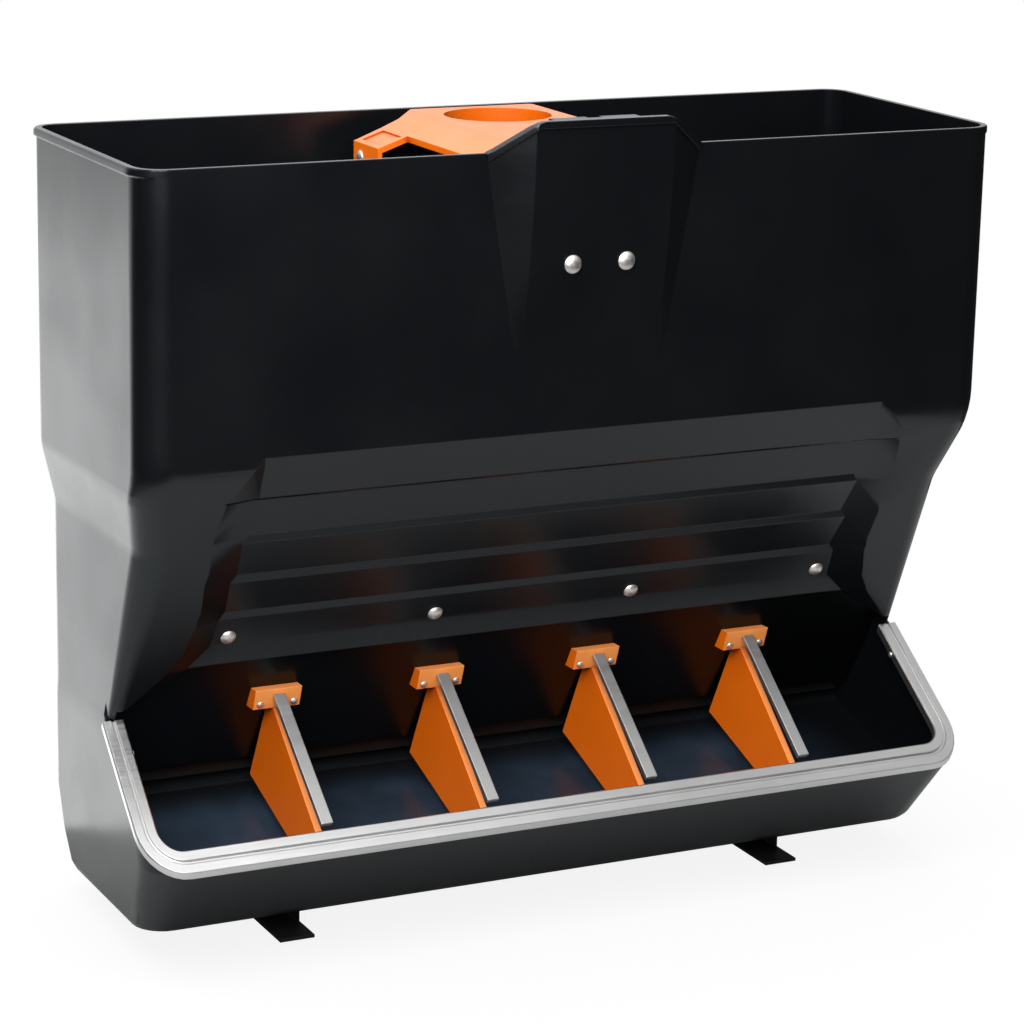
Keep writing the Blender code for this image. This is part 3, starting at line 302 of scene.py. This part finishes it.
def black_plastic(name, roughness, specular, shade):
    """Near black moulded plastic, its gloss lowered as painted shade in its hollows and inner
    sides, with a painted highlight on the level trough floor.
    """
    material, shader = new_material(name, BLACK_MIDDLE, roughness)
    shader.inputs["Specular Tint"].default_value = BLACK_TINT
    tree = material.node_tree
    patches = noise(tree, BLACK_PATCHES, -500, 300)
    ripple = noise(tree, BLACK_RIPPLE, -500, 0)
    grain = noise(tree, BLACK_GRAIN, -500, -200)
    shape = add_node(tree, "ShaderNodeNewGeometry", -1100, 700)
    facing = split(tree, shape.outputs["Normal"], -900, 700)
    where = split(tree, shape.outputs["Position"], -900, 1100)

    low = ramp(tree, where["Z"], RUBBED_HEIGHT, (RUBBED, 0.0), -700, 1300)
    not_left = ramp(tree, facing["X"], RUBBED_FACING, RISE, -700, 1500)
    rubbed = combine(tree, "MULTIPLY", low, not_left, -500, 1300)
    levels = [roughness + change for change in BLACK_VARIATION]
    smooth = spread(tree, patches, levels, -300, 200)
    dull = combine(tree, "ADD", smooth, rubbed, -100, 200)
    tree.links.new(dull, shader.inputs["Roughness"])

    # Painted shade: the gloss is lowered in the hollows and on the inner sides that look to the
    # middle
    open_air = openness(tree, BLACK_REACH, -500, -400)
    levels = (HOLLOW_GLOSS * specular, specular)
    shine = ramp(tree, open_air, BLACK_OPENNESS, levels, -300, -400)
    inward = combine(tree, "MULTIPLY", facing["X"], where["X"], -700, -700)
    inner_shade = ramp(tree, inward, INWARD_SPAN, (INWARD_GLOSS, 1.0), -500, -700)
    gloss = combine(tree, "MULTIPLY", shine, inner_shade, -200, -500)
    tree.links.new(gloss, shader.inputs["Specular IOR Level"])

    # Painted highlight: a paler colour in patches on the level, upward faces of the trough, fading
    # at its back and right end
    level_highlight = noise(tree, LEVEL_HIGHLIGHT_PATCHES, -700, 900, LEVEL_HIGHLIGHT_DETAIL)
    level_highlight = spread(tree, level_highlight, LEVEL_HIGHLIGHT_LEVELS, -500, 900)
    for value, span, levels in (
        (facing["Z"], LEVEL_HIGHLIGHT_FACING, RISE),
        (where["Y"], LEVEL_HIGHLIGHT_DEPTH, FALL),
        (where["X"], LEVEL_HIGHLIGHT_END, FALL),
    ):
        here = ramp(tree, value, span, levels, -700, 700)
        level_highlight = combine(tree, "MULTIPLY", level_highlight, here, -300, 700)
    # Painted shade: the colour is scaled by shade, which darkens the sheets deep inside
    dark, light = (Vector(colour) * shade for colour in BLACK_SKIN)
    skin = blend(tree, patches, dark, light, -300, 400)
    skin = blend(tree, level_highlight, skin, LEVEL_HIGHLIGHT_COLOUR, -100, 500)
    tree.links.new(skin, shader.inputs["Base Color"])
    relief(tree, shader, [(ripple, RIPPLE_BUMP), (grain, BLACK_BUMP)], BLACK_EDGE)
    return material


def orange_plastic(name, front, top, specular):
    """Satin orange plastic, with a painted highlight where it faces front and up, and painted
    shade in its hollows.
    """
    material, shader = new_material(name, ORANGE_MIDDLE, ORANGE_EVEN)
    shader.inputs["Specular IOR Level"].default_value = specular
    tree = material.node_tree
    patches = noise(tree, ORANGE_PATCHES, -500, 300)
    grain = noise(tree, ORANGE_GRAIN, -500, -200)
    smooth = spread(tree, patches, ORANGE_ROUGHNESS, -300, 200)
    tree.links.new(smooth, shader.inputs["Roughness"])

    skin = blend(tree, patches, *ORANGE_SKIN, -300, 400)
    shape = add_node(tree, "ShaderNodeNewGeometry", -1100, 700)
    facing = split(tree, shape.outputs["Normal"], -900, 700)
    # Painted highlight: the colour turns paler where the faces look to the front and up
    for colour, axis, span in ((front, "Y", FRONT_FACING), (top, "Z", TOP_FACING)):
        pale = ramp(tree, facing[axis], span, RISE, -700, 700)
        skin = blend(tree, pale, skin, colour, -100, 500)
    # Painted shade: the colour darkens in the hollows
    open_air = openness(tree, ORANGE_REACH, -500, -400)
    open_air = ramp(tree, open_air, ORANGE_OPENNESS, RISE, -300, -400)
    skin = blend(tree, open_air, ORANGE_HOLLOW_SHADE, skin, 0, 500)
    tree.links.new(skin, shader.inputs["Base Color"])
    relief(tree, shader, [(grain, ORANGE_BUMP)], ORANGE_EDGE)
    return material


def stainless(name, grey, roughness):
    """Satin stainless sheet with a fine grain along its length."""
    dark = (grey, grey, grey)
    pale = grey + STEEL_VARIATION
    light = (pale, pale, pale - STEEL_WARMTH)
    material, shader = new_material(name, dark, roughness, 1.0)
    tree = material.node_tree
    patches = noise(tree, STEEL_PATCHES, -500, 300)
    grain = noise(tree, STEEL_GRAIN, -500, 0, STEEL_DETAIL, STEEL_STRETCH)
    skin = blend(tree, patches, dark, light, -300, 400)
    tree.links.new(skin, shader.inputs["Base Color"])
    levels = (roughness, roughness + STEEL_VARIATION)
    add_grain(tree, shader, grain, levels, STEEL_BUMP, STEEL_EDGE)
    return material


def bolt_steel():
    """Bright plated steel of the bolts, nuts and screws."""
    material, shader = new_material("bolt_steel", BOLT_COLOUR, BOLT_EVEN, 1.0)
    tree = material.node_tree
    grain = noise(tree, BOLT_GRAIN, -500, 300)
    add_grain(tree, shader, grain, BOLT_ROUGHNESS, BOLT_BUMP, BOLT_EDGE)
    return material


def black_metal():
    """Black painted steel of the feet, their bolts and the gate."""
    material, shader = new_material("black_metal", PAINT_COLOUR, PAINT_EVEN)
    shader.inputs["Specular IOR Level"].default_value = PAINT_SPECULAR
    tree = material.node_tree
    grain = noise(tree, PAINT_GRAIN, -500, 0)
    add_grain(tree, shader, grain, PAINT_ROUGHNESS, PAINT_BUMP, PAINT_EDGE)
    return material


def paint_nodes():
    """Give every CAD node its finish, by the first row that its name fits."""
    bright = bolt_steel()
    finishes = [
        (("handle_left", "handle_right", "divider_screw_"), bright),
        (("divider_rod_",), stainless("stainless_rod", **ROD_FINISH)),
        (STAINLESS, stainless("stainless", **TRIM_FINISH)),
        (BLACK_METAL, black_metal()),
        (("hopper_body",), black_plastic("black_plastic", **BODY_FINISH)),
        (("throat_panel", "handle_guide"), black_plastic("black_sheet", **SHEET_FINISH_AND_SHADE)),
        (("divider_",), orange_plastic("orange_plastic", **DIVIDER_GLOSS_AND_HIGHLIGHT)),
        (("handle",), orange_plastic("orange_handle", **HANDLE_GLOSS_AND_HIGHLIGHT)),
        (("",), bright),
    ]
    for name, node in NODES.items():
        if node.type != "MESH":
            continue
        finish = next(material for starts, material in finishes if name.startswith(starts))
        node.data.materials.clear()
        node.data.materials.append(finish)


def shading_group():
    """Geometry nodes that join the facets' corners and shade the shallow edges smooth."""
    group = bpy.data.node_groups.new("soft_shading", "GeometryNodeTree")
    for name, way, kind in (
        ("Geometry", "INPUT", "NodeSocketGeometry"),
        ("Angle", "INPUT", "NodeSocketFloat"),
        ("Geometry", "OUTPUT", "NodeSocketGeometry"),
    ):
        group.interface.new_socket(name, in_out=way, socket_type=kind)
    start = add_node(group, "NodeGroupInput", -800, 0)
    merge = add_node(group, "GeometryNodeMergeByDistance", -600, 0)
    merge.inputs["Distance"].default_value = SAME_POINT
    bend = add_node(group, "GeometryNodeInputMeshEdgeAngle", -600, -300)
    sharp = add_node(
        group, "FunctionNodeCompare", -400, -200, data_type="FLOAT", operation="GREATER_THAN"
    )
    shade = add_node(group, "GeometryNodeSetMeshNormal", -200, 0, mode="SHARPNESS")
    end = add_node(group, "NodeGroupOutput", 0, 0)
    group.links.new(start.outputs["Geometry"], merge.inputs["Geometry"])
    group.links.new(merge.outputs["Geometry"], shade.inputs["Mesh"])
    group.links.new(bend.outputs["Unsigned Angle"], sharp.inputs[0])
    group.links.new(start.outputs["Angle"], sharp.inputs[1])
    group.links.new(sharp.outputs[0], shade.inputs["Edge Sharpness"])
    group.links.new(shade.outputs["Mesh"], end.inputs["Geometry"])
    return group


def soften_nodes():
    """Shade every CAD node smoothly, and round the edges of the small pieces."""
    group = shading_group()
    sockets = group.interface.items_tree
    angle_socket = next(item.identifier for item in sockets if item.name == "Angle")
    for name, node in NODES.items():
        if node.type != "MESH":
            continue
        angle, width = next(values for starts, values in EDGES if name.startswith(starts))
        shade = node.modifiers.new("shade", "NODES")
        shade.node_group = group
        shade[angle_socket] = math.radians(angle)
        if width:
            flat = node.modifiers.new("flat", "DECIMATE")
            flat.decimate_type = "DISSOLVE"
            flat.angle_limit = math.radians(FLAT_ANGLE)
            edge = node.modifiers.new("edge", "BEVEL")
            edge.limit_method = "ANGLE"
            edge.angle_limit = math.radians(angle)
            edge.width = width
            edge.segments = EDGE_STEPS
            edge.harden_normals = True
        weight = node.modifiers.new("weight", "WEIGHTED_NORMAL")
        weight.keep_sharp = True


def add_camera():
    """The camera at the photograph's angle."""
    angles = (CAMERA_YAW, CAMERA_PITCH, CAMERA_ROLL)
    yaw, pitch, roll = (math.radians(angle) for angle in angles)
    ahead = math.cos(pitch)
    forward = Vector((math.sin(yaw) * ahead, math.cos(yaw) * ahead, -math.sin(pitch)))
    level = forward.cross(UP).normalized()
    above = level.cross(forward)
    right = math.cos(roll) * level + math.sin(roll) * above
    top = -math.sin(roll) * level + math.cos(roll) * above
    data = bpy.data.cameras.new("camera")
    data.sensor_width = SENSOR
    data.lens = CAMERA_FOCUS * SENSOR
    camera = add_object("camera", data)
    turn = Matrix((right, top, -forward)).transposed().to_4x4()
    camera.matrix_world = Matrix.Translation(CAMERA_PLACE) @ turn
    bpy.context.scene.camera = camera


def softbox(name, place, line, size, power, turn=0.0):
    """A rectangular lamp that shines along a line, turned about it and unseen by the camera."""
    data = bpy.data.lights.new(name, "AREA")
    data.shape = "RECTANGLE"
    data.size, data.size_y = size
    data.energy = power
    lamp = add_object(name, data)
    lamp.location = place
    spin = Matrix.Rotation(math.radians(turn), 3, line)
    lamp.rotation_euler = (spin @ line.to_track_quat("-Z", "Y").to_matrix()).to_euler()
    lamp.visible_camera = False
    return lamp


def shade_from(lamp, piece):
    """Keep a lamp off one object, as a card beside the lamp would."""
    lit = bpy.data.collections.new(lamp.name + "_lit")
    lit.objects.link(piece)
    lit.collection_objects[0].light_linking.link_state = "EXCLUDE"
    lamp.light_linking.receiver_collection = lit


def add_light(floor):
    """A soft lamp above the front, one overhead, and a panel low behind the left side."""
    key = softbox("key", KEY_PLACE, KEY_AIM - KEY_PLACE, KEY_SIZE, KEY_POWER)
    shade_from(key, floor)
    softbox("ceiling", CEILING_PLACE, DOWN, CEILING_SIZE, CEILING_POWER)
    softbox("low_panel", PANEL_PLACE, UP, PANEL_SIZE, PANEL_POWER, PANEL_TURN)


def add_room():
    """A dark room, grey overhead and white behind, that is plain white to the camera."""
    world = bpy.data.worlds.new("studio")
    bpy.context.scene.world = world
    world.use_nodes = True
    tree = world.node_tree
    background = tree.nodes["Background"]
    background.inputs["Color"].default_value = WHITE
    place = add_node(tree, "ShaderNodeTexCoord", -1300, 0)
    direction = split(tree, place.outputs["Generated"], -1100, 0)
    above = ramp(tree, direction["Z"], SKY_SPAN, (ROOM, SKY), -900, 100)
    behind = ramp(tree, direction["Y"], BACKDROP_SPAN, (ROOM, BACKDROP), -900, -200)
    room = combine(tree, "MAXIMUM", above, behind, -700, 0)
    path = add_node(tree, "ShaderNodeLightPath", -900, 500).outputs
    seen = combine(tree, "MAXIMUM", path["Is Camera Ray"], path["Is Transmission Ray"], -700, 400)
    strength = combine(tree, "MAXIMUM", seen, room, -500, 200)
    tree.links.new(strength, background.inputs["Strength"])


def add_floor():
    """A plain pale round floor that stays white to the eye and keeps the shadow."""
    rim = []
    for side in range(FLOOR_SIDES):
        angle = 2.0 * math.pi * side / FLOOR_SIDES
        x = FLOOR_SPAN[0] * math.cos(angle)
        y = FLOOR_MIDDLE + FLOOR_SPAN[1] * math.sin(angle)
        rim.append((x, y, FLOOR_TOP))
    mesh = bpy.data.meshes.new("floor")
    mesh.from_pydata(rim, [], [tuple(range(FLOOR_SIDES))])
    floor = add_object("floor", mesh)

    material, shader = new_material("floor", FLOOR_COLOUR, FLOOR_ROUGHNESS)
    shader.inputs["Specular IOR Level"].default_value = 0.0
    tree = material.node_tree
    path = add_node(tree, "ShaderNodeLightPath", -300, 500)
    share = add_node(tree, "ShaderNodeMath", -100, 500, operation="MULTIPLY")
    share.inputs[1].default_value = GLOW_SHARE
    glow = add_node(tree, "ShaderNodeEmission", 0, 300)
    glow.inputs["Strength"].default_value = GLOW
    mix = add_node(tree, "ShaderNodeMixShader", 200, 300)
    tree.links.new(path.outputs["Is Camera Ray"], share.inputs[0])
    tree.links.new(share.outputs[0], mix.inputs[0])
    tree.links.new(shader.outputs[0], mix.inputs[1])
    tree.links.new(glow.outputs[0], mix.inputs[2])
    tree.links.new(mix.outputs[0], tree.nodes["Material Output"].inputs["Surface"])
    floor.data.materials.append(material)
    return floor


paint_nodes()
soften_nodes()
add_camera()
add_light(add_floor())
add_room()
bpy.context.scene.view_settings.view_transform = "Standard"
